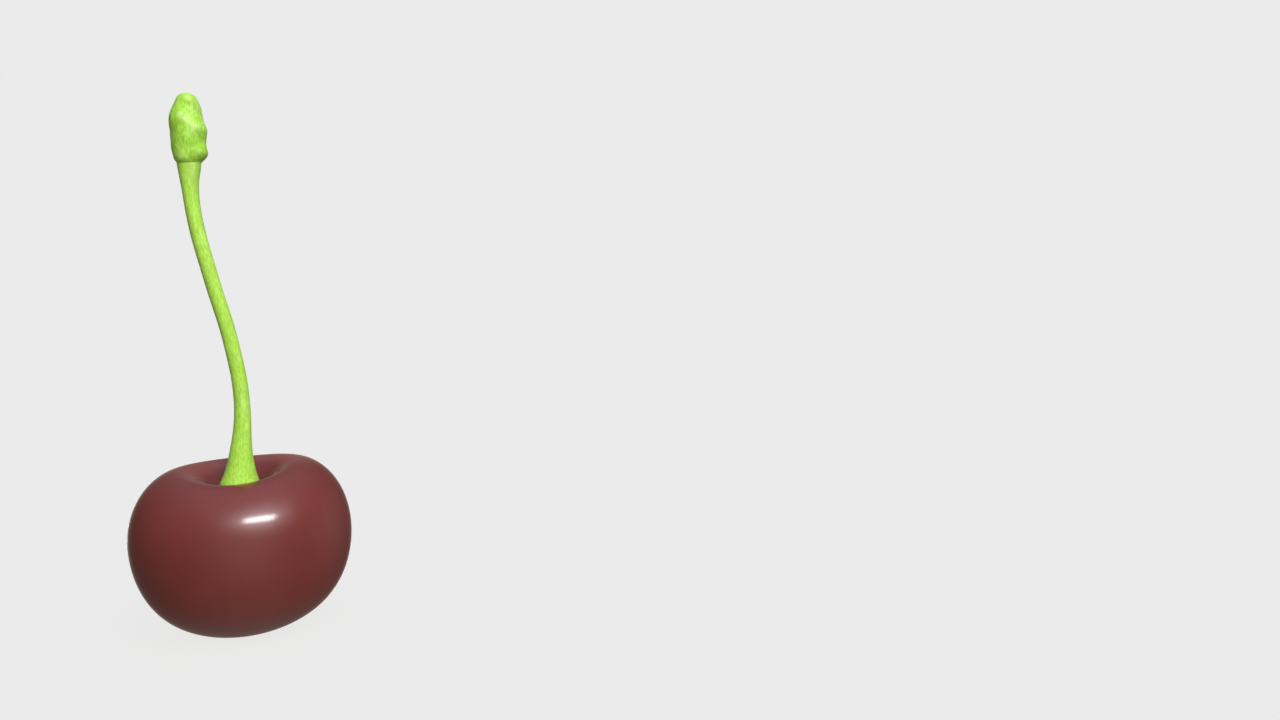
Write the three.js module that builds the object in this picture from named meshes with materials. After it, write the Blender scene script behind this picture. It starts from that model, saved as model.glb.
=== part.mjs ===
// A fresh sweet cherry: the ripe fruit, its stem, and the knob that joined the
// stem to the tree. Millimetres, +Z up. The fruit rests on a small flat spot,
// with the origin in the middle of that spot.

import * as THREE from 'three';

// ---- Fruit: driving dimensions -------------------------------------------

const HALF_WIDTH = 13.06;       // axis to cheek, along X, at the widest ring
const DEPTH_RATIO = 0.86;       // front-to-back size over side-to-side size
const HALF_HEIGHT = 11.7;       // widest ring to tip, before the crown is dented
const CROWN_SWELL = 0.05;       // how much fuller the sides are above the ring
const SHOULDER_SWELL = 0.125;   // how much fuller they are near crown and tip
const BASE_SWELL = 0.037;       // how much fuller still they are near the tip
const CROWN_FLATTENING = 0.2;   // height that crown and tip lose together

const CAVITY_DEPTH = 5.7;       // dent that the stem stands in
const CAVITY_RADIUS = 4.9;      // where the dent is down to about a third
const SIDE_SHOULDER_RISE = 0.6; // left and right shoulders stand above the others
const BACK_SHOULDER_RISE = 1.45; // the back shoulder stands above the front one

const TIP_SHIFT = 0.3;          // the tip sits off the axis, towards +X
const LEAN = THREE.MathUtils.degToRad(2.7);  // the axis leans towards -X

// ---- Fruit: how it rests -------------------------------------------------

const LOWEST_BELOW_RING = 11.89; // widest ring to the lowest skin, unpressed
const LOWEST_OFF_AXIS = 0.17;   // the origin, under that skin, lies this far towards +X
const FLAT_SPOT_DEPTH = 0.45;   // how far the skin is pressed flat there
const FLAT_SPOT_ROUNDING = 0.12; // soft edge between the flat spot and the skin

// ---- Stem ----------------------------------------------------------------

const PIECE_GAP = 0.3;          // clear space between neighbouring pieces
const STEM_RADIUS = 0.91;
const FOOT_FLARE = { growth: 1.61, reach: 4.6, sharpness: 1.35 };
const TOP_FLARE = { growth: 0.52, reach: 2.3, sharpness: 1.5 };
const FOOT_SETTLE = 5;          // the foot follows the dent up to this height
const LEVEL_END = 1;            // both ends turn level over this length
const STEM_ROUTE = new THREE.CatmullRomCurve3([
  new THREE.Vector3(-0.5, 0, 17.65),
  new THREE.Vector3(-0.25, 0.05, 22.2),
  new THREE.Vector3(0.05, 0.25, 29.5),
  new THREE.Vector3(-1.0, 0.6, 37),
  new THREE.Vector3(-3.0, 1.25, 45),
  new THREE.Vector3(-4.65, 2.05, 52.4),
  new THREE.Vector3(-5.12, 2.65, 57),
  new THREE.Vector3(-5.15, 3.05, 59.6),
]);

// ---- Spur knob -----------------------------------------------------------

const KNOB_BASE = new THREE.Vector3(-5.12, 3.1, 59.6 + PIECE_GAP);
// [radius, height above the knob's base], from the underside to the blunt top
const KNOB_PROFILE = [
  [1.45, 0], [1.82, 0.25], [1.94, 1.1], [2.07, 2.9], [2.02, 4.1],
  [1.65, 5.9], [1.38, 7.1], [1.12, 7.8], [0.62, 8.3],
];
const KNOB_HEIGHT = 8.5;
// Swellings: where leaves and other stems once sat. Each has its direction
// around the knob (0 is +X, 90 is +Y), height, growth and vertical reach.
const KNOB_SWELLINGS = [
  { facing: -8, height: 1.15, growth: 0.32, reach: 0.55 },
  { facing: 5, height: 3.9, growth: 0.14, reach: 0.6 },
  { facing: 182, height: 5.6, growth: 0.36, reach: 1.6 },
  { facing: 98, height: 3.1, growth: 0.3, reach: 1.2 },
  { facing: 262, height: 2.2, growth: 0.14, reach: 1.1 },
];

// ---- Mesh fineness -------------------------------------------------------

const FRUIT_SEGMENTS = { around: 72, downwards: 50 };
const STEM_SEGMENTS = { around: 22, along: 44, underFoot: 4 };
const KNOB_SEGMENTS = { around: 26, along: 26 };

// ---- Colours and finishes ------------------------------------------------

const RIPE_SKIN = { color: '#6b2c2b', roughness: 0.22, metalness: 0 };
const GREEN_STEM = { color: '#a5dd52', roughness: 0.6, metalness: 0 };
const GREEN_KNOB = { color: '#a0d850', roughness: 0.65, metalness: 0 };

// ---- Fruit ---------------------------------------------------------------

// Flat below zero and unchanged above it, with a soft bend between the two.
function settle(height) {
  if (height >= FLAT_SPOT_ROUNDING) return height;
  if (height <= -FLAT_SPOT_ROUNDING) return 0;
  return (height + FLAT_SPOT_ROUNDING) ** 2 / (4 * FLAT_SPOT_ROUNDING);
}

// The point of the skin that a direction from the fruit's middle leads to.
function skinPoint(direction) {
  const up = direction.z;
  const swell = 1 + CROWN_SWELL * up + SHOULDER_SWELL * up ** 2
    + BASE_SWELL * Math.min(up, 0) ** 2;
  const spread = swell * Math.hypot(direction.x, direction.y);
  const facing = Math.atan2(direction.y, direction.x);
  const crown = THREE.MathUtils.smoothstep(up, 0, 1);
  const towardsTip = 1 - THREE.MathUtils.smoothstep((1 + up) / 2, 0, 1);

  const body = HALF_HEIGHT * up - CROWN_FLATTENING * up ** 2;
  const dent = CAVITY_DEPTH * Math.exp(-((HALF_WIDTH * spread / CAVITY_RADIUS) ** 2));
  const shoulders = SIDE_SHOULDER_RISE * Math.cos(2 * facing)
    + BACK_SHOULDER_RISE * Math.sin(facing);

  const point = new THREE.Vector3(
    HALF_WIDTH * swell * direction.x + TIP_SHIFT * towardsTip,
    HALF_WIDTH * DEPTH_RATIO * swell * direction.y,
    body + crown * (spread * shoulders - dent),
  );
  point.applyAxisAngle(new THREE.Vector3(0, 1, 0), -LEAN);
  point.x -= LOWEST_OFF_AXIS;
  point.z = settle(point.z + LOWEST_BELOW_RING - FLAT_SPOT_DEPTH);
  return point;
}

// Moves every vertex of a geometry to where the given function sends it.
function reshape(geometry, move) {
  const position = geometry.attributes.position;
  const vertex = new THREE.Vector3();
  for (let i = 0; i < position.count; i += 1) {
    vertex.fromBufferAttribute(position, i);
    const moved = move(vertex);
    position.setXYZ(i, moved.x, moved.y, moved.z);
  }
  geometry.computeVertexNormals();
  return geometry;
}

function makeFruit() {
  const ball = new THREE.SphereGeometry(1, FRUIT_SEGMENTS.around, FRUIT_SEGMENTS.downwards);
  ball.rotateX(Math.PI / 2);
  return reshape(ball, skinPoint);
}

// ---- Stem ----------------------------------------------------------------

// How much wider the stem is at this distance from one of its ends.
function flare(distance, { growth, reach, sharpness }) {
  return growth * Math.exp(-((Math.max(distance, 0) / reach) ** sharpness));
}

// How far the fruit's skin stands above the middle of the dent, out at (x, y).
function dentRise(x, y) {
  const middle = skinPoint(new THREE.Vector3(0, 0, 1));
  const crownSwell = 1 + CROWN_SWELL + SHOULDER_SWELL;
  const side = x / (HALF_WIDTH * crownSwell);
  const back = y / (HALF_WIDTH * DEPTH_RATIO * crownSwell);
  const up = Math.sqrt(1 - side ** 2 - back ** 2);
  return skinPoint(new THREE.Vector3(side, back, up)).z - middle.z;
}

function makeStem() {
  const length = STEM_ROUTE.getLength();
  const radiusAt = (rise) => STEM_RADIUS
    + flare(rise, FOOT_FLARE) + flare(length - rise, TOP_FLARE);

  const profile = [];
  for (let i = 0; i < STEM_SEGMENTS.underFoot; i += 1) {
    profile.push(new THREE.Vector2(radiusAt(0) * i / STEM_SEGMENTS.underFoot, 0));
  }
  for (let i = 0; i <= STEM_SEGMENTS.along; i += 1) {
    const rise = length * i / STEM_SEGMENTS.along;
    profile.push(new THREE.Vector2(radiusAt(rise), rise));
  }
  profile.push(new THREE.Vector2(0, length));

  const straight = new THREE.LatheGeometry(profile, STEM_SEGMENTS.around);
  straight.rotateX(Math.PI / 2);
  const upwards = new THREE.Vector3(0, 0, 1);
  return reshape(straight, (vertex) => {
    const along = THREE.MathUtils.clamp(vertex.z / length, 0, 1);
    const fromEnd = Math.min(vertex.z, length - vertex.z);
    const level = Math.max(1 - fromEnd / LEVEL_END, 0);
    const tangent = STEM_ROUTE.getTangentAt(along).lerp(upwards, level).normalize();
    const turn = new THREE.Quaternion().setFromUnitVectors(upwards, tangent);
    const lift = dentRise(vertex.x, vertex.y);
    const fade = Math.max(1 - vertex.z / FOOT_SETTLE, 0) ** 2;
    return new THREE.Vector3(vertex.x, vertex.y, 0)
      .applyQuaternion(turn)
      .add(STEM_ROUTE.getPointAt(along))
      .add(new THREE.Vector3(0, 0, lift * fade));
  });
}

// ---- Spur knob -----------------------------------------------------------

function swellingAt(facing, height) {
  let growth = 0;
  for (const swelling of KNOB_SWELLINGS) {
    const turn = facing - THREE.MathUtils.degToRad(swelling.facing);
    const around = Math.max(Math.cos(turn), 0) ** 2;
    const upAndDown = Math.exp(-(((height - swelling.height) / swelling.reach) ** 2));
    growth += swelling.growth * around * upAndDown;
  }
  return growth;
}

function makeKnob() {
  const outline = new THREE.SplineCurve([
    ...KNOB_PROFILE.map(([radius, height]) => new THREE.Vector2(radius, height)),
    new THREE.Vector2(0, KNOB_HEIGHT),
  ]).getSpacedPoints(KNOB_SEGMENTS.along);
  const profile = [new THREE.Vector2(0, 0), ...outline];
  profile[profile.length - 1].x = 0;

  const plain = new THREE.LatheGeometry(profile, KNOB_SEGMENTS.around);
  plain.rotateX(Math.PI / 2);
  return reshape(plain, ({ x, y, z }) => {
    const radius = Math.hypot(x, y);
    const facing = Math.atan2(y, x);
    const fullness = Math.min(radius / KNOB_PROFILE[0][0], 1);
    const grown = radius + fullness * swellingAt(facing, z);
    return new THREE.Vector3(grown * Math.cos(facing), grown * Math.sin(facing), z)
      .add(KNOB_BASE);
  });
}

// ---- Assembly ------------------------------------------------------------

function piece(name, geometry, finish) {
  const mesh = new THREE.Mesh(geometry, new THREE.MeshStandardMaterial(finish));
  mesh.name = name;
  return mesh;
}

const cherry = new THREE.Group();
cherry.add(piece('fruit', makeFruit(), RIPE_SKIN));
cherry.add(piece('stem', makeStem(), GREEN_STEM));
cherry.add(piece('spur_knob', makeKnob(), GREEN_KNOB));

export default cherry;
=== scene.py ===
"""A fresh sweet cherry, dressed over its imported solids.

The fruit, its stem and the spur knob are modelled again as smooth pieces that stand for the
plain solids of the frame, and each gets a finish of its own. Everything is in metres, +Z up.
"""
import logging
import math
from dataclasses import dataclass, field
from enum import Enum
from typing import Callable, Sequence

import bmesh
import bpy
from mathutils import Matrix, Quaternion, Vector


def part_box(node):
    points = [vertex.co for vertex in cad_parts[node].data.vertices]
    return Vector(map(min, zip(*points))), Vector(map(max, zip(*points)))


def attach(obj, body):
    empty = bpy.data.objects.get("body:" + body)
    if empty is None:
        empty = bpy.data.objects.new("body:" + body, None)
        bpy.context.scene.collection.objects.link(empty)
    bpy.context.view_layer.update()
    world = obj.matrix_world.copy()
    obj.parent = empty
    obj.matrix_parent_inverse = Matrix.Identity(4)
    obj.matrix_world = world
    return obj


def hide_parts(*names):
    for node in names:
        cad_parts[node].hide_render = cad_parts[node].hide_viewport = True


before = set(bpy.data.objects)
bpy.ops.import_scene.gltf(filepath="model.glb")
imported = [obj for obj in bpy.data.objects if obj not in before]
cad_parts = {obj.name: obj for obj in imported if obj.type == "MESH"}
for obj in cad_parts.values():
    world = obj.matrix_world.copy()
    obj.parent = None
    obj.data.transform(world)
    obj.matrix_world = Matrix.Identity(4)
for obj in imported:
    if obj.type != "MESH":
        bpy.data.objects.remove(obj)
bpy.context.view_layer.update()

log = logging.getLogger("cherry")
Pair = tuple[float, float]
Triple = tuple[float, float, float]
MM = 0.001
# The stem's middle line in millimetres, from the bottom of the fruit's dent to the knob.
STALK_ROUTE = (
    (-0.5, 0, 17.65), (-0.25, 0.05, 22.2), (0.05, 0.25, 29.5), (-1.0, 0.6, 37),
    (-3.0, 1.25, 45), (-4.65, 2.05, 52.4), (-5.12, 2.65, 57), (-5.15, 3.05, 59.6),
)


class Slot(Enum):
    """The record's material slots."""

    SKIN = "ripe_skin"
    STEM = "green_stem"
    KNOB = "spur_bark"


# ---- Modelling -----------------------------------------------------------------------------


def smooth_step(value: float) -> float:
    """Returns 0 below 0, 1 above 1 and an even rise with level ends between them.

    Args:
        value: how far along the rise.

    Returns:
        The height of the rise there.
    """
    held = min(max(value, 0.0), 1.0)
    return held * held * (3 - 2 * held)


def bell(distance: float, reach: float, sharpness: float = 2.0) -> float:
    """Returns 1 at no distance and about a third at the reach.

    Args:
        distance: how far away.
        reach: where it is down to about a third.
        sharpness: the power that shapes its flanks.

    Returns:
        The height of the bell there.
    """
    return math.exp(-(abs(distance) / reach) ** sharpness)


@dataclass
class Ring:
    """One level ring of a body that is drawn upwards.

    Attributes:
        height: height of the ring.
        width: its radius along X.
        depth: its radius along Y.
        shift: how far its middle lies towards +X.
    """

    height: float
    width: float
    depth: float
    shift: float = 0.0

    @property
    def centre(self) -> Vector:
        """Returns the middle of the ring."""
        return Vector((self.shift, 0, self.height))


class Workbench:
    """A piece in the making, and the tools that shape it."""

    def __init__(self, name: str) -> None:
        """Starts a piece.

        Args:
            name: the finished piece's name.
        """
        self.name = name
        self.piece: bpy.types.Object | None = None

    def draw_up(self, rings: Sequence[Ring], sides: int) -> None:
        """Draws a closed body from its lowest ring to its last by extruding a disc.

        Args:
            rings: the rings in order. The first and the last are closed to a point.
            sides: how many corners each ring has.
        """
        first = rings[0]
        bpy.ops.object.select_all(action="DESELECT")
        bpy.ops.mesh.primitive_circle_add(
            vertices=sides, radius=first.width, fill_type="TRIFAN", location=first.centre)
        self.piece = bpy.context.object
        self.piece.name = self.piece.data.name = self.name
        bpy.ops.object.transform_apply(location=True, rotation=True, scale=True)
        self.edit()
        bpy.ops.transform.resize(
            value=(1, first.depth / first.width, 1), center_override=first.centre)
        self.select(lambda point: (point - first.centre).length > first.depth / 2)
        for before, after in zip(rings, rings[1:]):
            bpy.ops.mesh.extrude_region_move(
                TRANSFORM_OT_translate={"value": after.centre - before.centre})
            bpy.ops.transform.resize(
                value=(after.width / before.width, after.depth / before.depth, 1),
                center_override=after.centre)
        bpy.ops.mesh.extrude_region_move()
        bpy.ops.mesh.merge(type="CENTER")
        bpy.ops.mesh.select_all(action="SELECT")
        bpy.ops.mesh.normals_make_consistent(inside=False)
        self.leave()

    def edit(self) -> None:
        """Enters edit mode with every point selected."""
        bpy.ops.object.mode_set(mode="EDIT")
        bpy.context.tool_settings.mesh_select_mode = (True, False, False)
        bpy.ops.mesh.select_all(action="SELECT")

    def leave(self) -> None:
        """Leaves edit mode."""
        bpy.ops.object.mode_set(mode="OBJECT")

    def select(self, wanted: Callable[[Vector], bool]) -> None:
        """Selects the points whose place passes a test, and nothing else.

        Args:
            wanted: the test.
        """
        bpy.ops.mesh.select_all(action="DESELECT")
        mesh = bmesh.from_edit_mesh(self.piece.data)
        for vertex in mesh.verts:
            vertex.select = wanted(vertex.co)
        mesh.select_flush(True)
        bmesh.update_edit_mesh(self.piece.data)

    def box(self) -> tuple[Vector, Vector]:
        """Returns the piece's lowest and highest corners."""
        points = [vertex.co for vertex in self.piece.data.vertices]
        low = Vector([min(point[axis] for point in points) for axis in range(3)])
        high = Vector([max(point[axis] for point in points) for axis in range(3)])
        return low, high

    def modify(self, kind: str, **settings: object) -> None:
        """Adds a modifier and applies it.

        Args:
            kind: the modifier's type.
            **settings: its settings by name.
        """
        added = self.piece.modifiers.new(kind.title(), kind)
        for key, value in settings.items():
            setattr(added, key, value)
        bpy.ops.object.modifier_apply(modifier=added.name)

    def smooth(self, levels: int) -> None:
        """Rounds the piece off with subdivisions.

        Args:
            levels: how many times each face is split in four.
        """
        self.modify("SUBSURF", levels=levels, render_levels=levels)

    def raise_by(self, height: float, share: Callable[[Vector], float],
                 direction: str = "NORMAL") -> None:
        """Moves every point by its own share of a height.

        Args:
            height: how far a full share moves.
            share: a point's share, from 0 to 1.
            direction: the way it moves, in the words of the Displace modifier.
        """
        group = self.piece.vertex_groups.new(name="share")
        for vertex in self.piece.data.vertices:
            group.add([vertex.index], share(vertex.co), "REPLACE")
        self.modify("DISPLACE", vertex_group="share", strength=height, mid_level=0.0,
                    direction=direction)
        self.piece.vertex_groups.clear()

    def remember_place(self, name: str) -> None:
        """Keeps every point's present place on it, for a pattern that is bent with the piece.

        Args:
            name: the attribute's name.
        """
        places = self.piece.data.attributes.new(name, "FLOAT_VECTOR", "POINT")
        for kept, vertex in zip(places.data, self.piece.data.vertices):
            kept.vector = vertex.co

    def note(self, name: str, value: Callable[[Vector], float]) -> None:
        """Keeps a number for every point on the piece, for its finish to read.

        Args:
            name: the attribute's name.
            value: gives a point's number.
        """
        kept = self.piece.data.attributes.new(name, "FLOAT", "POINT")
        for number, vertex in zip(kept.data, self.piece.data.vertices):
            number.value = value(vertex.co)

    def bend_along(self, route: Sequence[Vector]) -> None:
        """Bends an upright piece so that its Z axis follows a route from the first point on.

        Args:
            route: the points that the curve passes through.
        """
        path = bpy.data.curves.new("route", "CURVE")
        path.dimensions = "3D"
        path.twist_mode = "MINIMUM"
        path.resolution_u = 24
        spline = path.splines.new("BEZIER")
        spline.bezier_points.add(len(route) - 1)
        for knot, place in zip(spline.bezier_points, route):
            knot.co = place
            knot.handle_left_type = knot.handle_right_type = "AUTO"
        guide = bpy.data.objects.new("route", path)
        bpy.context.collection.objects.link(guide)
        bpy.context.view_layer.update()
        self.modify("CURVE", object=guide, deform_axis="POS_Z")
        bpy.data.objects.remove(guide)
        bpy.data.curves.remove(path)

    def fit(self, low: Vector, high: Vector) -> None:
        """Stretches and moves the piece so that it fills a box.

        Args:
            low: the box's lowest corner.
            high: the box's highest corner.
        """
        own_low, own_high = self.box()
        size, own_size = high - low, own_high - own_low
        stretch = Vector([size[axis] / own_size[axis] for axis in range(3)])
        self.edit()
        bpy.ops.transform.resize(value=stretch, center_override=own_low)
        bpy.ops.transform.translate(value=low - own_low)
        self.leave()


# ---- Finishes ------------------------------------------------------------------------------


class Recipe:
    """A node tree, written as short calls."""

    def __init__(self, tree: bpy.types.NodeTree) -> None:
        """Empties a node tree.

        Args:
            tree: the tree of a material or of the surroundings.
        """
        self.tree = tree
        self.tree.nodes.clear()

    def add(self, kind: str, settings: dict[str, object] | None = None,
            **inputs: object) -> bpy.types.Node:
        """Adds a node.

        Args:
            kind: the node's type, without the words ShaderNode.
            settings: its own properties.
            **inputs: values or sockets for its inputs, with _ for a space in a name.

        Returns:
            The node.
        """
        node = self.tree.nodes.new(f"ShaderNode{kind}")
        for key, value in (settings or {}).items():
            setattr(node, key, value)
        for key, value in inputs.items():
            self.feed(node, key.replace("_", " "), value)
        return node

    def feed(self, node: bpy.types.Node, key: str | int, value: object) -> None:
        """Gives one input of a node a value or a link.

        Args:
            node: the node.
            key: the input's name or number.
            value: a number, a colour, a vector or another node's output.
        """
        socket = node.inputs[key]
        if isinstance(value, bpy.types.NodeSocket):
            self.tree.links.new(value, socket)
        elif socket.type == "RGBA":
            socket.default_value = (*value, 1.0)
        else:
            socket.default_value = value

    def millimetres(self, centre: Vector, stretch: Triple = (1.0, 1.0, 1.0),
                    source: str = "") -> object:
        """Returns the place on the piece in millimetres from a centre.

        Args:
            centre: the centre, in metres.
            stretch: a factor for each axis; below 1 draws a pattern out along it.
            source: an attribute that holds the place, if it isn't where the piece is now.

        Returns:
            The vector socket.
        """
        scale = [factor / MM for factor in stretch]
        offset = [-place * factor for place, factor in zip(centre, scale)]
        if source:
            place = self.add("Attribute", {"attribute_name": source}).outputs["Vector"]
        else:
            place = self.add("TexCoord").outputs["Object"]
        return self.add("Mapping", Vector=place, Location=offset, Scale=scale).outputs["Vector"]

    def distance(self, centre: Vector) -> object:
        """Returns how far the place on the piece is from a centre, in millimetres.

        Args:
            centre: the centre, in metres.

        Returns:
            The value socket.
        """
        return self.add("VectorMath", {"operation": "LENGTH"},
                        Vector=self.millimetres(centre)).outputs["Value"]

    def noise(self, vector: object, scale: float, detail: float = 2.0,
              roughness: float = 0.5) -> object:
        """Returns soft noise between 0 and 1.

        Args:
            vector: where it is read.
            scale: swellings per unit of the vector.
            detail: how many finer layers it has.
            roughness: how strong those layers are.

        Returns:
            The value socket.
        """
        return self.add("TexNoise", Vector=vector, Scale=scale, Detail=detail,
                        Roughness=roughness).outputs["Fac"]

    def band(self, value: object, low: float, high: float,
             bottom: float = 0.0, top: float = 1.0) -> object:
        """Returns a value that goes softly from bottom to top between two limits.

        Args:
            value: what is looked at.
            low: where the change starts.
            high: where it ends.
            bottom: the result at low.
            top: the result at high.

        Returns:
            The value socket.
        """
        node = self.add("MapRange", {"interpolation_type": "SMOOTHSTEP"})
        for key, number in enumerate((value, low, high, bottom, top)):
            self.feed(node, key, number)
        return node.outputs["Result"]

    def reckon(self, operation: str, *values: object) -> object:
        """Returns one math operation on one to three values.

        Args:
            operation: the operation's name.
            *values: numbers or sockets.

        Returns:
            The value socket.
        """
        node = self.add("Math", {"operation": operation})
        for key, value in enumerate(values):
            self.feed(node, key, value)
        return node.outputs["Value"]

    def blend(self, amount: object, below: object, above: object) -> object:
        """Returns one colour laid over another.

        Args:
            amount: 0 shows below alone and 1 shows above.
            below: a colour or socket.
            above: a colour or socket.

        Returns:
            The colour socket.
        """
        node = self.add("Mix", {"data_type": "RGBA"})
        amount_socket, below_socket, above_socket, result_socket = 0, 6, 7, 2
        self.feed(node, amount_socket, amount)
        self.feed(node, below_socket, below)
        self.feed(node, above_socket, above)
        return node.outputs[result_socket]

    def relief(self, height: object, depth: float, strength: float = 1.0,
               over: object | None = None) -> object:
        """Returns a surface direction bent by a height.

        Args:
            height: the height's socket, 0 to 1.
            depth: how deep that relief is, in metres.
            strength: how much of it shows.
            over: another relief that it lies on.

        Returns:
            The normal socket.
        """
        node = self.add("Bump", Height=height, Distance=depth, Strength=strength)
        if over is not None:
            self.feed(node, "Normal", over)
        return node.outputs["Normal"]


class Finish(Recipe):
    """A material's recipe around one shader."""

    def __init__(self, name: str) -> None:
        """Starts the material with its shader.

        Args:
            name: the material's name.
        """
        self.material = bpy.data.materials.new(name)
        self.material.use_nodes = True
        super().__init__(self.material.node_tree)
        self.shader = self.add("BsdfPrincipled")
        self.surface = self.add("OutputMaterial", Surface=self.shader.outputs["BSDF"])

    def set(self, **values: object) -> None:
        """Sets the shader's own sockets.

        Args:
            **values: a value or socket for each, with _ for a space in its name.
        """
        for key, value in values.items():
            self.feed(self.shader, key.replace("_", " "), value)


@dataclass(frozen=True)
class RipeSkin:
    """Thin, glossy, dark red skin with faint streaks, mottling and pores, and painted light and
    painted shade in the stem's dent.

    Places and distances are in millimetres, places from the bottom of the dent. A distance is
    a pair: where a change starts and where it is complete.

    Attributes:
        deep: the darkest red.
        warm: the usual red.
        pore: the colour of the small pores.
        scar: the dry scar at the tip.
        lower_red: the fuller red towards the bottom of the fruit.
        hollow: the paler red of a ring on the dent's side and back walls, painted light where the
            dent's shade falls.
        painted_wall_shade: the darker red on the dent's left wall beside the stem, painted shade.
        gloss: roughness of the skin.
        dull: its roughness down in the dent.
        bloom: how much of the skin's fine wax shows, at grazing angles alone.
        bloom_spread: how far from such an edge it shows.
        bloom_tint: its colour.
        lower_red_fall: heights between which the fuller red comes in, from the fruit's middle.
        painted_light_ring_middle: the middle of the ring of painted light.
        painted_light_ring_inside: distances over which the ring comes in.
        painted_light_ring_outside: distances over which it ends, from far to near.
        painted_light_ring_behind: how far back the ring comes in, from the fruit's middle.
        painted_wall_shade_middle: the middle of the painted shade.
        painted_wall_shade_reach: distances over which the painted shade comes in.
        dull_reach: distances over which the dullness ends.
        pore_reach: radii over which a pore ends, in parts of the space between pores.
        scar_reach: distances over which the scar ends.
    """

    deep: Triple = (0.138, 0.0235, 0.0190)
    warm: Triple = (0.156, 0.0290, 0.0240)
    pore: Triple = (0.22, 0.05, 0.04)
    scar: Triple = (0.09, 0.045, 0.022)
    lower_red: Triple = (0.168, 0.0285, 0.0235)
    hollow: Triple = (0.230, 0.0600, 0.0480)
    painted_wall_shade: Triple = (0.075, 0.012, 0.010)
    gloss: float = 0.16
    dull: float = 0.3
    bloom: float = 1.0
    bloom_spread: float = 0.12
    bloom_tint: Triple = (1.0, 0.85, 0.62)
    lower_red_fall: Pair = (5.0, -7.0)
    painted_light_ring_middle: Triple = (0.9, 0.0, 0.0)
    painted_light_ring_inside: Pair = (4.8, 6.2)
    painted_light_ring_outside: Pair = (9.4, 7.2)
    painted_light_ring_behind: Pair = (-3.0, 1.0)
    painted_wall_shade_middle: Triple = (-2.6, 1.8, 2.2)
    painted_wall_shade_reach: Pair = (3.4, 1.4)
    dull_reach: Pair = (2.5, 5.5)
    pore_reach: Pair = (0.05, 0.12)
    scar_reach: Pair = (0.45, 0.9)

    def make(self, middle: Vector, tip: Vector, dent: Vector) -> bpy.types.Material:
        """Makes the material.

        Args:
            middle: the middle of the fruit.
            tip: the middle of the scar.
            dent: the bottom of the dent that the stem stands in.

        Returns:
            The material.
        """
        skin = Finish("ripe_skin")
        place = skin.millimetres(middle)
        side, back, up = skin.add("SeparateXYZ", Vector=place).outputs
        streaks = skin.band(skin.noise(self.meridian(skin, side, back, up), scale=9.0,
                                       detail=4.0, roughness=0.6), 0.35, 0.7)
        clouds = skin.band(skin.noise(place, scale=0.16, detail=3.0, roughness=0.55), 0.3, 0.72)
        shade = skin.reckon("MULTIPLY_ADD", streaks, 0.35,
                            skin.reckon("MULTIPLY", clouds, 0.65))
        colour = skin.blend(shade, self.deep, self.warm)
        # Redder towards the bottom of the fruit.
        lower_red = skin.band(up, *self.lower_red_fall, bottom=0.0, top=0.35)
        colour = skin.blend(lower_red, colour, self.lower_red)

        from_dent = skin.distance(dent)
        # A paler ring on the dent's side and back walls: painted light laid where the dent's own
        # shade falls.
        from_painted_light_ring = skin.distance(dent + Vector(self.painted_light_ring_middle) * MM)
        ring = skin.reckon("MULTIPLY", skin.band(from_painted_light_ring, *self.painted_light_ring_inside),
                           skin.band(from_painted_light_ring, *self.painted_light_ring_outside, bottom=0.0, top=0.62))
        ring = skin.reckon("MULTIPLY", ring, skin.band(back, *self.painted_light_ring_behind))
        colour = skin.blend(ring, colour, self.hollow)
        # A darker patch on the dent's left wall beside the stem: painted shade.
        from_painted_wall_shade = skin.distance(dent + Vector(self.painted_wall_shade_middle) * MM)
        painted_wall_shade = skin.band(from_painted_wall_shade, *self.painted_wall_shade_reach, bottom=0.0, top=0.3)
        colour = skin.blend(painted_wall_shade, colour, self.painted_wall_shade)

        cells = skin.add("TexVoronoi", Vector=place, Scale=1.15)
        pores = skin.band(cells.outputs["Distance"], *self.pore_reach, bottom=0.16, top=0.0)
        colour = skin.blend(pores, colour, self.pore)
        scar = skin.band(skin.distance(tip), *self.scar_reach, bottom=1.0, top=0.0)
        colour = skin.blend(scar, colour, self.scar)

        gloss = skin.band(skin.noise(place, scale=0.5), 0.3, 0.7,
                          bottom=self.gloss - 0.015, top=self.gloss + 0.02)
        dull = skin.band(from_dent, *self.dull_reach, bottom=self.dull, top=0.0)
        gloss = skin.reckon("MAXIMUM", gloss, dull)
        grain = skin.noise(place, scale=5.0, detail=3.0, roughness=0.6)
        skin.set(Base_Color=colour, Roughness=skin.reckon("MAXIMUM", gloss, scar),
                 Normal=skin.relief(grain, depth=0.02 * MM, strength=0.3),
                 Sheen_Weight=self.bloom, Sheen_Roughness=self.bloom_spread,
                 Sheen_Tint=self.bloom_tint)
        return skin.material

    def meridian(self, skin: Finish, side: object, back: object, up: object) -> object:
        """Returns a place that hardly changes from crown to tip, for streaks that run so.

        Args:
            skin: the recipe that it is added to.
            side: the place along X.
            back: the place along Y.
            up: the height.

        Returns:
            The vector socket.
        """
        outwards = skin.reckon("SQRT", skin.reckon(
            "ADD", skin.reckon("MULTIPLY", side, side), skin.reckon("MULTIPLY", back, back)))
        outwards = skin.reckon("MAXIMUM", outwards, 0.5)
        return skin.add(
            "CombineXYZ", X=skin.reckon("DIVIDE", side, outwards),
            Y=skin.reckon("DIVIDE", back, outwards), Z=skin.reckon("MULTIPLY", up, 0.03)).outputs[0]


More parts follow.
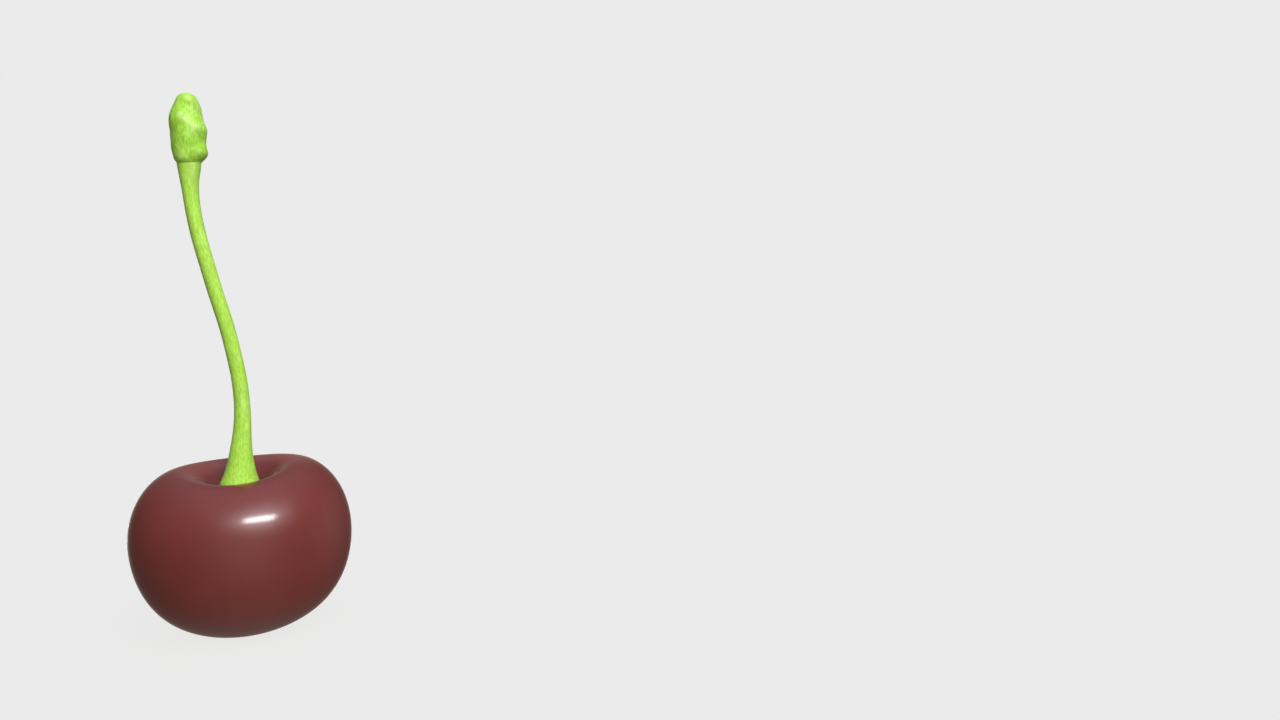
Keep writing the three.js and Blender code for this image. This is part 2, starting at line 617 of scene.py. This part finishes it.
@dataclass(frozen=True)
class GreenStalk:
    """Fresh green stalk with fine lengthwise fibres, dark flecks, pale patches, painted light and
    painted shade.

    Attributes:
        name: the material's name.
        lime: the usual green.
        shade: the green between the fibres.
        pale: the pale patches, and the colour of the painted light.
        olive_bruise_and_shade: the slightly bruised patches, and the colour of the painted shade.
        fibres: fibres per millimetre round the stalk.
        drawn: how far the fibres are drawn out; smaller is longer.
        rough: roughness.
        shine: how strongly it reflects; 0.5 is usual.
    """

    name: str
    lime: Triple = (0.41, 0.735, 0.080)
    shade: Triple = (0.31, 0.54, 0.058)
    pale: Triple = (0.54, 0.79, 0.20)
    olive_bruise_and_shade: Triple = (0.34, 0.53, 0.085)
    fibres: float = 6.0
    drawn: float = 0.24
    rough: float = 0.5
    shine: float = 0.12

    def make(self, middle: Vector, drawn_on: str = "") -> bpy.types.Material:
        """Makes the material.

        Args:
            middle: the middle of the piece.
            drawn_on: the attribute that the pattern follows, if it isn't the plain place.

        Returns:
            The material.
        """
        stalk = Finish(self.name)
        place = stalk.millimetres(middle, source=drawn_on)
        along = stalk.millimetres(middle, (1.0, 1.0, self.drawn), drawn_on)
        threads = stalk.noise(along, scale=self.fibres, detail=4.0, roughness=0.65)
        flecks = stalk.noise(along, scale=self.fibres * 0.7, detail=2.0, roughness=0.5)
        flecks = stalk.band(flecks, 0.56, 0.7, bottom=0, top=0.5)
        patches = stalk.noise(along, scale=0.75, detail=4.0, roughness=0.65)
        patches = stalk.band(patches, 0.5, 0.7, bottom=0, top=0.5)
        bruises = stalk.noise(along, scale=1.1, detail=3.0, roughness=0.6)
        bruises = stalk.band(bruises, 0.52, 0.72, bottom=0, top=0.5)
        speckle = stalk.noise(place, scale=4.5, detail=2.0, roughness=0.6)
        speckle = stalk.band(speckle, 0.55, 0.75, bottom=0, top=0.5)
        # The attribute holds painted light above 0 and painted shade below 0.
        painted_light_and_shade = stalk.add("Attribute", {"attribute_name": "painted_light_and_shade"}).outputs["Fac"]
        colour = stalk.blend(stalk.band(threads, 0.35, 0.6), self.shade, self.lime)
        colour = stalk.blend(bruises, colour, self.olive_bruise_and_shade)
        # Painted shade: dull olive where the attribute is below 0.
        dull = stalk.band(painted_light_and_shade, 0.0, -0.9, bottom=0, top=0.8)
        colour = stalk.blend(dull, colour, self.olive_bruise_and_shade)
        colour = stalk.blend(patches, colour, self.pale)
        # Painted light: pale green where the attribute is above 0.
        paler = stalk.band(painted_light_and_shade, 0.0, 0.9, bottom=0, top=0.9)
        colour = stalk.blend(paler, colour, self.pale)
        colour = stalk.blend(stalk.reckon("MAXIMUM", flecks, speckle), colour, self.shade)
        grain = stalk.noise(place, scale=3.0, detail=3.0)
        grain = stalk.relief(grain, depth=0.03 * MM, strength=0.4)
        stalk.set(Base_Color=colour, Roughness=self.rough, Specular_IOR_Level=self.shine,
                  Normal=stalk.relief(threads, depth=0.05 * MM, strength=0.8, over=grain))
        return stalk.material


# ---- Pieces --------------------------------------------------------------------------------


@dataclass
class Piece:
    """What every dressed piece has in common.

    Attributes:
        node: the frame's node that the piece stands for.
        slot: the record's slot for the piece; not used.
    """

    node: str
    slot: Slot

    def dress(self, piece: bpy.types.Object, material: bpy.types.Material) -> None:
        """Finishes a piece and ties it to the frame.

        Args:
            piece: the modelled piece.
            material: its finish.
        """
        bpy.ops.object.shade_smooth()
        piece.data.materials.clear()
        piece.data.materials.append(material)
        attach(piece, "root")
        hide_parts(self.node)
        log.info("%s: %d faces", piece.name, len(piece.data.polygons))


@dataclass
class Fruit(Piece):
    """The ripe fruit: full shoulders, a dent for the stem, and a small flat spot to rest on.

    Attributes:
        half_width: axis to cheek along X at the widest ring.
        depth_ratio: front-to-back size over side-to-side size.
        half_height: widest ring to tip, before the crown is dented.
        crown_swell: how much fuller the sides are above the ring.
        shoulder_swell: how much fuller they are near crown and tip.
        base_swell: how much fuller still they are near the tip.
        crown_flattening: height that crown and tip lose together.
        dent_depth: depth of the dent that the stem stands in.
        dent_radius: where the dent is down to about a third.
        side_rise: how far the side shoulders stand above the others.
        back_rise: how far the back shoulder stands above the front one.
        tip_shift: how far the tip sits off the axis.
        lean: how far the axis leans towards -X.
        flat_depth: how far the skin is pressed flat where the fruit rests.
        suture_depth: depth of the shallow seam down the back.
        suture_width: half of that seam's width.
        scar_depth: depth of the dimple round the scar at the tip.
        scar_radius: radius of that dimple.
        inset: how far the skin stays inside the frame's box.
        rings: how many level rings it is drawn up from.
        sides: corners of each ring.
    """

    node: str = "fruit"
    slot: Slot = Slot.SKIN
    half_width: float = 13.06 * MM
    depth_ratio: float = 0.86
    half_height: float = 11.7 * MM
    crown_swell: float = 0.05
    shoulder_swell: float = 0.125
    base_swell: float = 0.037
    crown_flattening: float = 0.2 * MM
    dent_depth: float = 5.7 * MM
    dent_radius: float = 4.9 * MM
    side_rise: float = 0.6 * MM
    back_rise: float = 1.45 * MM
    tip_shift: float = 0.3 * MM
    lean: float = math.radians(2.7)
    flat_depth: float = 0.45 * MM
    suture_depth: float = 0.16 * MM
    suture_width: float = 0.8 * MM
    scar_depth: float = 0.12 * MM
    scar_radius: float = 1.0 * MM
    inset: float = 0.01 * MM
    rings: int = 44
    sides: int = 72

    def ring(self, turn: float) -> Ring:
        """Returns one ring round the fruit's own axis.

        Args:
            turn: 0 at the tip and pi in the middle of the dent.

        Returns:
            The ring.
        """
        up = -math.cos(turn)
        swell = 1 + self.crown_swell * up + self.shoulder_swell * up ** 2
        swell += self.base_swell * min(up, 0) ** 2
        width = self.half_width * swell * math.sin(turn)
        dent = self.dent_depth * smooth_step(up) * bell(width, self.dent_radius)
        height = self.half_height * up - self.crown_flattening * up ** 2 - dent
        towards_tip = 1 - smooth_step((1 + up) / 2)
        return Ring(height, width, width * self.depth_ratio, self.tip_shift * towards_tip)

    def shoulder(self, point: Vector) -> float:
        """Returns how far a point is lifted by the uneven shoulders, out of the most.

        Args:
            point: a corner of one of the rings.

        Returns:
            The share of the full lift.
        """
        spread = math.hypot(point.x, point.y / self.depth_ratio)
        turn = min(self.turns, key=lambda turn: self.miss(turn, spread, point.z))
        facing = math.atan2(point.y / self.depth_ratio, point.x)
        lift = self.side_rise * math.cos(2 * facing) + self.back_rise * math.sin(facing)
        crown = smooth_step(-math.cos(turn)) * spread / self.half_width
        return 0.5 + crown * lift / self.full_lift

    @property
    def full_lift(self) -> float:
        """Returns more than the shoulders can differ by."""
        return 2.4 * (self.side_rise + self.back_rise)

    @property
    def turns(self) -> list[float]:
        """Returns where the rings are, from 0 at the tip to pi in the middle of the dent."""
        return [math.pi * step / (self.rings + 1) for step in range(1, self.rings + 1)]

    def miss(self, turn: float, spread: float, height: float) -> float:
        """Returns how far a corner is from one of the rings.

        Args:
            turn: where the ring is.
            spread: the corner's distance from the axis.
            height: the corner's height.

        Returns:
            The distance.
        """
        ring = self.ring(turn)
        return math.hypot(ring.width - spread, ring.height - height)

    def build(self) -> None:
        """Models the fruit, fits it into its solid's box and dresses it."""
        bench = Workbench("ripe_fruit")
        bench.draw_up([self.ring(turn) for turn in self.turns], self.sides)
        bench.raise_by(self.full_lift, self.shoulder, "Z")
        bench.smooth(2)
        self.lean_over(bench)
        self.press_flat(bench)
        low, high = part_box(self.node)
        inset = Vector((self.inset, self.inset, 0))
        bench.fit(low + inset, high - inset)
        bench.raise_by(-self.suture_depth, self.suture)
        bench.raise_by(-self.scar_depth, self.dimple)
        dent = Vector(STALK_ROUTE[0]) * MM
        finish = RipeSkin().make((low + high) / 2, Vector((0, 0, low.z)), dent)
        self.dress(bench.piece, finish)

    def suture(self, point: Vector) -> float:
        """Returns how deep the seam down the back is at a point, out of the most.

        Args:
            point: a point of the upright fruit.

        Returns:
            The share of the full depth.
        """
        behind = smooth_step(point.y / self.half_width * 2 - 0.2)
        return behind * bell(point.x, self.suture_width)

    def dimple(self, point: Vector) -> float:
        """Returns how deep the dimple round the scar is at a point, out of the most.

        Args:
            point: a point of the fruit as it rests.

        Returns:
            The share of the full depth.
        """
        if point.z > self.flat_depth:
            return 0
        return bell(math.hypot(point.x, point.y), self.scar_radius)

    def lean_over(self, bench: Workbench) -> None:
        """Leans the fruit; with no window the rotate tool turns the other way.

        Args:
            bench: the bench that the fruit lies on.
        """
        bench.edit()
        bpy.ops.transform.rotate(
            value=self.lean, orient_axis="Y", orient_type="GLOBAL", center_override=(0, 0, 0))
        bench.leave()

    def press_flat(self, bench: Workbench) -> None:
        """Presses a flat spot into the underside and rounds its edge.

        Args:
            bench: the bench that the fruit lies on.
        """
        low, _ = bench.box()
        ground = low.z + self.flat_depth
        bench.edit()
        bench.select(lambda point: point.z < ground)
        bpy.ops.transform.resize(value=(1, 1, 0), center_override=(0, 0, ground))
        edge = ground + self.flat_depth / 2
        bench.select(lambda point: point.z < edge)
        bpy.ops.mesh.vertices_smooth(factor=0.5, repeat=6)
        bench.leave()


@dataclass
class Flare:
    """How a stalk widens towards one of its ends.

    Attributes:
        growth: how much radius it gains at the very end.
        reach: how far from the end it is down to about a third.
        sharpness: the power that shapes it.
    """

    growth: float
    reach: float
    sharpness: float

    def at(self, distance: float) -> float:
        """Returns the gain in radius.

        Args:
            distance: how far from the end.

        Returns:
            The gain there.
        """
        return self.growth * bell(max(distance, 0.0), self.reach, self.sharpness)


@dataclass(frozen=True)
class Swelling:
    """A soft lump where a leaf or another stem once sat, a hollow between two, or a flat mark; each
    may carry painted light or painted shade.

    Attributes:
        facing: its direction round the piece; 0 is +X and 90 is +Y.
        height: its height above the piece's base, in millimetres.
        growth: how far it stands out, or below 0 in, in millimetres.
        reach: how far it spreads up and down, in millimetres.
        width: how far it spreads round the piece, in degrees.
        painted_light_and_shade: how much painted light its middle has, or below 0 how much painted
            shade.
    """

    facing: float
    height: float
    growth: float
    reach: float
    width: float = 52
    painted_light_and_shade: float = 0.0

    def share(self, place: Vector) -> float:
        """Returns how much of the lump there is in one place.

        Args:
            place: a point of the upright piece, in millimetres above its base.

        Returns:
            1 in its middle and less around it.
        """
        around = math.degrees(math.atan2(place.y, place.x))
        turn = (around - self.facing + 180) % 360 - 180
        return bell(turn, self.width) * bell(place.z - self.height, self.reach)


def painted_light_and_shade_at(swellings: Sequence[Swelling], point: Vector) -> float:
    """Returns how much painted light a piece has in one place, below 0 where it has painted shade.

    Args:
        swellings: its lumps, hollows and marks.
        point: a point of the upright piece.

    Returns:
        The sum over all of them.
    """
    return sum(swelling.painted_light_and_shade * swelling.share(point / MM) for swelling in swellings)


@dataclass
class Stalk(Piece):
    """The stem: slender, gently bent, and wider at the foot and under the knob.

    Attributes:
        radius: radius of its slender middle.
        foot: how it widens into the fruit.
        head: how it widens under the knob.
        route: the points that its middle line passes through.
        sunk: how far the foot goes on into the flesh.
        spread: how much wider it is there.
        hidden: how far the head goes on into the knob.
        settle: the foot follows the dent up to this height.
        dent_depth: depth of the dent that it stands in.
        dent_radius: where that dent is down to about a third.
        painted_stem_shade: its patches of painted shade on the upright stem, which the bend turns
            by 101 degrees.
        rings: how many steps it is drawn up in.
        sides: corners of each ring.
    """

    node: str = "stem"
    slot: Slot = Slot.STEM
    radius: float = 0.91 * MM
    foot: Flare = field(default_factory=lambda: Flare(1.53 * MM, 4.7 * MM, 1.35))
    head: Flare = field(default_factory=lambda: Flare(0.52 * MM, 2.3 * MM, 1.5))
    route: tuple[Triple, ...] = STALK_ROUTE
    sunk: float = 0.6 * MM
    spread: float = 1.06
    hidden: float = 0.9 * MM
    settle: float = 5 * MM
    dent_depth: float = 5.7 * MM
    dent_radius: float = 4.9 * MM
    # Flat patches of painted shade on the stem's upper part, near the knob.
    painted_stem_shade: tuple[Swelling, ...] = (
        Swelling(184, 42.2, 0.0, 0.6, 50, -0.8),
        Swelling(199, 40.6, 0.0, 2.2, 28, -0.9),
        Swelling(229, 36.0, 0.0, 5.0, 30, -0.4),
        Swelling(104, 34.5, 0.0, 5.5, 30, -0.7),
    )
    rings: int = 60
    sides: int = 20

    def build(self) -> None:
        """Models the stem upright, bends it along its route and dresses it."""
        knots = [Vector(point) * MM for point in self.route]
        length = sum((after - before).length for before, after in zip(knots, knots[1:]))
        bench = Workbench("green_stem")
        bench.draw_up(self.upright(length), self.sides)
        bench.smooth(2)
        bench.remember_place("upright")
        # Keeps the painted shade on each point for the finish.
        bench.note("painted_light_and_shade", lambda point: painted_light_and_shade_at(self.painted_stem_shade, point))
        bench.bend_along(knots)
        finish = GreenStalk("green_stem").make(Vector((0, 0, 0)), "upright")
        self.dress(bench.piece, finish)

    def upright(self, length: float) -> list[Ring]:
        """Returns the rings of the stem before it is bent.

        Args:
            length: the length of its route.

        Returns:
            The rings from the sunk foot to the hidden head.
        """
        rings = []
        for step in range(self.rings + 1):
            rise = length * step / self.rings
            radius = self.radius + self.foot.at(rise) + self.head.at(length - rise)
            fade = max(1 - rise / self.settle, 0) ** 2
            lift = self.dent_depth * (1 - bell(radius, self.dent_radius)) * fade
            rings.append(Ring(rise + lift, radius, radius))
        foot, head = rings[0], rings[-1]
        rings.insert(0, Ring(-self.sunk, foot.width * self.spread, foot.depth * self.spread))
        rings.append(Ring(length + self.hidden, head.width, head.depth))
        return rings


@dataclass
class Knob(Piece):
    """The spur knob that joined the stem to the tree: a lumpy, blunt green bud.

    Attributes:
        foot: the middle of its underside, in millimetres.
        outline: radius and height of its rings, in millimetres.
        swellings: its lumps and hollows, with painted light and painted shade on them.
        most: more than any of them moves the surface, in millimetres.
        sides: corners of each ring.
    """

    node: str = "spur_knob"
    slot: Slot = Slot.KNOB
    foot: Triple = (-5.12, 3.1, 59.9)
    outline: tuple[tuple[float, float], ...] = (
        (1.40, -0.50), (1.57, -0.36), (1.69, -0.06), (1.78, 0.27), (1.84, 0.7), (1.89, 1.2),
        (1.95, 1.8),
        (2.01, 2.4), (2.07, 3.0), (2.08, 3.6), (2.02, 4.2), (1.84, 5.0), (1.64, 5.9),
        (1.49, 6.6), (1.36, 7.2), (1.19, 7.7), (0.93, 8.05), (0.59, 8.25), (0.25, 8.33),
    )
    # Above 0, a swelling's last value paints light and below 0 it paints shade: pale on raised
    # parts that face the light, dull in hollows, undersides and the shaded side.
    swellings: tuple[Swelling, ...] = (
        Swelling(-8, 1.0, 0.34, 0.7),
        Swelling(5, 3.9, 0.14, 0.6),
        Swelling(182, 5.4, 0.36, 1.4),
        Swelling(98, 3.1, 0.3, 1.2),
        Swelling(262, 2.2, 0.08, 1.1),
        Swelling(250, 5.3, 0.22, 0.6, 22, 0.6),
        Swelling(272, 4.6, 0.20, 0.55, 20, 0.6),
        Swelling(294, 3.9, 0.18, 0.5, 20, 0.6),
        Swelling(280, 7.5, 0.12, 0.4, 30, 0.5),
        Swelling(246, 0.8, 0.08, 0.5, 26, 0.3),
        Swelling(303, 1.1, 0.12, 0.5, 22, 0.5),
        Swelling(150, 1.4, 0.18, 0.6, 30, 0.3),
        Swelling(60, 5.4, 0.16, 0.9, 32, 0.5),
        Swelling(20, 6.6, 0.12, 0.6, 26, 0.0),
        Swelling(316, 6.4, -0.04, 1.0, 20, -0.9),
        Swelling(287, 6.5, -0.12, 0.4, 24, -0.5),
        Swelling(214, 3.4, -0.15, 1.1, 24, -0.6),
        Swelling(324, 2.6, -0.14, 0.5, 24, -0.8),
        Swelling(284, 1.6, -0.08, 0.6, 28, -0.9),
        Swelling(280, 2.9, 0.02, 0.7, 30, 0.4),
        Swelling(276, 0.6, 0.04, 0.7, 46, 0.1),
        Swelling(240, 0.0, 0.10, 0.5, 36, 0.3),
        Swelling(356, -0.25, -0.24, 0.4, 40, -0.5),
        Swelling(180, -0.35, -0.10, 0.3, 40, 0.0),
        Swelling(304, -0.25, -0.08, 0.4, 34, -0.9),
        Swelling(120, 6.6, -0.12, 0.7, 35, -0.6),
        Swelling(75, 1.6, -0.12, 0.5, 30, -0.6),
        Swelling(160, 3.6, -0.10, 0.6, 30, -0.6),
    )
    most: float = 0.6
    sides: int = 28

    def build(self) -> None:
        """Models the knob at its place and dresses it."""
        bench = Workbench("green_knob")
        bench.draw_up([Ring(height * MM, radius * MM, radius * MM)
                       for radius, height in self.outline], self.sides)
        bench.smooth(1)
        bench.raise_by(self.most * MM, lambda point: self.grown(point, 1))
        bench.raise_by(-self.most * MM, lambda point: self.grown(point, -1))
        bench.smooth(1)
        # Keeps the painted light and shade on each point for the finish.
        bench.note("painted_light_and_shade", lambda point: painted_light_and_shade_at(self.swellings, point))
        bench.edit()
        bpy.ops.transform.translate(value=Vector(self.foot) * MM)
        bench.leave()
        low, high = bench.box()
        finish = GreenStalk("green_knob", lime=(0.40, 0.765, 0.068), shade=(0.26, 0.48, 0.046),
                            pale=(0.60, 0.86, 0.26), olive_bruise_and_shade=(0.30, 0.50, 0.07))
        self.dress(bench.piece, finish.make((low + high) / 2))

    def grown(self, point: Vector, way: int) -> float:
        """Returns how far the lumps or the hollows move a point, out of the most.

        Args:
            point: a point of the plain turned knob.
            way: 1 for the lumps and -1 for the hollows.

        Returns:
            The share of the most.
        """
        place = point / MM
        grown = sum(way * swelling.growth * swelling.share(place)
                    for swelling in self.swellings if way * swelling.growth > 0)
        fullness = min(math.hypot(place.x, place.y) / self.outline[0][0], 1)
        return min(grown * fullness / self.most, 1)


# ---- Studio --------------------------------------------------------------------------------


def towards(azimuth: float, elevation: float) -> Vector:
    """Returns a direction.

    Args:
        azimuth: degrees from -Y, the front, towards +X.
        elevation: degrees above the horizon.

    Returns:
        The unit vector.
    """
    around, above = math.radians(azimuth), math.radians(elevation)
    return Vector((
        math.sin(around) * math.cos(above), -math.cos(around) * math.cos(above),
        math.sin(above)))


@dataclass(frozen=True)
class Glow:
    """A broad, soft patch of light in the surroundings.

    Attributes:
        name: what it stands for.
        azimuth: its middle, in degrees from the front towards the right.
        elevation: its middle, in degrees above the horizon.
        spread: how many degrees from its middle it is down to about a third.
        colour: its radiance in the middle.
    """

    name: str
    azimuth: float
    elevation: float
    spread: float
    colour: Triple

    def paint(self, room: Recipe, looking: object, below: object) -> object:
        """Adds the glow to the surroundings.

        Args:
            room: the surroundings' recipe.
            looking: the direction that is looked in.
            below: the light that is already there.

        Returns:
            The sum of both.
        """
        middle = towards(self.azimuth, self.elevation)
        facing = room.add("VectorMath", {"operation": "DOT_PRODUCT", "label": self.name})
        facing = facing.outputs["Value"]
        room.feed(facing.node, 0, looking)
        room.feed(facing.node, 1, middle)
        sharpness = 1 / (1 - math.cos(math.radians(self.spread)))
        fall = room.reckon("MULTIPLY_ADD", facing, sharpness, -sharpness)
        sum_node = room.add("VectorMath", {"operation": "MULTIPLY_ADD"})
        for key, value in enumerate((room.reckon("EXPONENT", fall), self.colour, below)):
            room.feed(sum_node, key, value)
        return sum_node.outputs["Vector"]

    def seen(self, looking: Vector) -> Vector:
        """Returns the glow's light from one direction.

        Args:
            looking: the direction.

        Returns:
            The radiance.
        """
        sharpness = 1 / (1 - math.cos(math.radians(self.spread)))
        fall = towards(self.azimuth, self.elevation).dot(looking) - 1
        return Vector(self.colour) * math.exp(sharpness * fall)


@dataclass(frozen=True)
class SoftBox:
    """One soft studio lamp that looks at the fruit.

    Attributes:
        name: its name.
        azimuth: where it hangs, in degrees from the front towards the right.
        elevation: its height, in degrees.
        width: its width.
        height: its height.
        radiance: how bright its face is.
        roll: how far it is turned on itself, in degrees.
        colour: its colour.
        distance: how far it hangs from the fruit.
        glossy: whether it shows in reflections.
    """

    name: str
    azimuth: float
    elevation: float
    width: float
    height: float
    radiance: float
    roll: float = 0.0
    colour: Triple = (1.0, 1.0, 1.0)
    distance: float = 0.5
    glossy: bool = True

    def hang(self, target: Vector, floor: bpy.types.Object) -> None:
        """Makes the lamp.

        Args:
            target: what it looks at.
            floor: what it leaves unlit.
        """
        lamp = bpy.data.lights.new(self.name, "AREA")
        lamp.shape = "RECTANGLE"
        lamp.size, lamp.size_y = self.width, self.height
        lamp.energy = self.radiance * math.pi * self.width * self.height
        lamp.color = self.colour
        hung = bpy.data.objects.new(self.name, lamp)
        away = towards(self.azimuth, self.elevation)
        hung.location = target + away * self.distance
        facing = away.to_track_quat("Z", "Y") @ Quaternion((0, 0, 1), math.radians(self.roll))
        hung.rotation_euler = facing.to_euler()
        hung.visible_glossy = self.glossy
        bpy.context.collection.objects.link(hung)
        unlit = bpy.data.collections.new(f"{self.name}_leaves_unlit")
        unlit.objects.link(floor)
        unlit.collection_objects[0].light_linking.link_state = "EXCLUDE"
        hung.light_linking.receiver_collection = unlit


@dataclass
class Studio:
    """A pale floor, soft surroundings, soft lamps and the camera.

    Attributes:
        backdrop: the plain grey behind everything.
        glows: the patches of light all round.
        lamps: the lamps.
        camera_place: where the camera stands, in millimetres.
        camera_turn: how far it is turned to the right, in degrees.
        camera_tip: how far it looks down, in degrees.
        lens: its focal length, in millimetres.
        floor_size: the floor's width, in metres.
        floor_share: how much of its light the floor takes from the surroundings.
    """

    backdrop: Triple = (0.831, 0.831, 0.831)
    glows: tuple[Glow, ...] = (
        Glow("key_halo", 15, 45, 20, (5.0, 5.0, 5.0)),
        Glow("ceiling", 0, 90, 45, (0.6, 0.7, 0.9)),
        Glow("front_wall", 0, 0, 40, (0.6, 0.6, 0.6)),
        Glow("left_wall", -90, 0, 30, (0.15, 0.12, 0.1)),
        Glow("right_wall", 90, 0, 30, (0.3, 0.35, 0.35)),
        Glow("back_wall", 180, 0, 30, (0.3, 0.25, 0.2)),
        Glow("table", 0, -90, 50, (0.5, 0.4, 0.35)),
    )
    lamps: tuple[SoftBox, ...] = (
        SoftBox("key", azimuth=15, elevation=45, width=0.2, height=0.07, radiance=30.0,
                roll=-10),
        SoftBox("back_fill", azimuth=180, elevation=5, width=0.5, height=0.4, radiance=2.4,
                distance=0.6, glossy=False),
    )
    camera_place: Triple = (-0.23, -121.418, 42.111)
    camera_turn: float = 24.867
    camera_tip: float = 3.818
    lens: float = 24.44
    floor_size: float = 4.0
    floor_share: float = 0.06

    def set_up(self, target: Vector) -> None:
        """Builds the studio.

        Args:
            target: what the lamps look at.
        """
        bpy.context.scene.view_settings.view_transform = "Standard"
        self.surround()
        floor = self.lay_floor()
        for lamp in self.lamps:
            lamp.hang(target, floor)
        self.place_camera()

    def surround(self) -> None:
        """Lights the scene from all round; the camera itself sees a plain backdrop."""
        world = bpy.data.worlds.new("studio")
        world.use_nodes = True
        bpy.context.scene.world = world
        room = Recipe(world.node_tree)
        looking = room.add("TexCoord").outputs["Generated"]
        light: object = (0.0, 0.0, 0.0)
        for glow in self.glows:
            light = glow.paint(room, looking, light)
        seen = room.add("LightPath").outputs["Is Camera Ray"]
        colour = room.blend(seen, light, self.backdrop)
        room.add("OutputWorld", Surface=room.add("Background", Color=colour).outputs[0])

    def daylight_on_floor(self) -> Vector:
        """Returns what the surroundings send down onto a level white floor."""
        total, steps = Vector((0, 0, 0)), 90
        for row in range(steps):
            elevation = 90 * (row + 0.5) / steps
            above = math.radians(elevation)
            share = math.sin(above) * math.cos(above) * (math.pi / 2 / steps) / (2 * steps)
            for column in range(4 * steps):
                looking = towards(360 * (column + 0.5) / (4 * steps), elevation)
                total += share * sum((glow.seen(looking) for glow in self.glows), Vector())
        return total

    def lay_floor(self) -> bpy.types.Object:
        """Lays a plain pale floor that shows a faint soft shadow.

        Its colour meets the backdrop's: the light that it takes up is made good by its own.

        Returns:
            The floor.
        """
        bpy.ops.object.select_all(action="DESELECT")
        bpy.ops.mesh.primitive_plane_add(size=self.floor_size, location=(0, 0, 0))
        floor = bpy.context.object
        floor.name = "floor"
        floor.visible_glossy = floor.visible_diffuse = floor.visible_shadow = False
        pale = Finish("pale_floor")
        lit = self.daylight_on_floor() * self.floor_share
        pale.set(Base_Color=(self.floor_share,) * 3, Roughness=1.0, Specular_IOR_Level=0.0,
                 Emission_Color=Vector(self.backdrop) - lit, Emission_Strength=1.0)
        under = pale.add("NewGeometry").outputs["Backfacing"]
        sheet = pale.add("MixShader", Fac=under)
        pale.feed(sheet, 1, pale.shader.outputs["BSDF"])
        pale.feed(sheet, 2, pale.add("BsdfTransparent").outputs["BSDF"])
        pale.feed(pale.surface, "Surface", sheet.outputs["Shader"])
        floor.data.materials.append(pale.material)
        return floor

    def place_camera(self) -> None:
        """Makes the camera."""
        view = bpy.data.cameras.new("camera")
        view.lens = self.lens
        view.sensor_width = 36.0
        view.clip_start = 0.005
        camera = bpy.data.objects.new("camera", view)
        camera.location = Vector(self.camera_place) * MM
        turn, tip = math.radians(self.camera_turn), math.radians(self.camera_tip)
        camera.rotation_euler = (math.pi / 2 - tip, 0, -turn)
        bpy.context.collection.objects.link(camera)
        bpy.context.scene.camera = camera


def main() -> None:
    """Builds the cherry piece by piece, then its studio."""
    logging.basicConfig(level=logging.INFO, format="%(name)s: %(message)s")
    low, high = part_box("fruit")
    Fruit().build()
    Stalk().build()
    Knob().build()
    Studio().set_up((low + high) / 2)


if __name__ == "__main__":
    main()
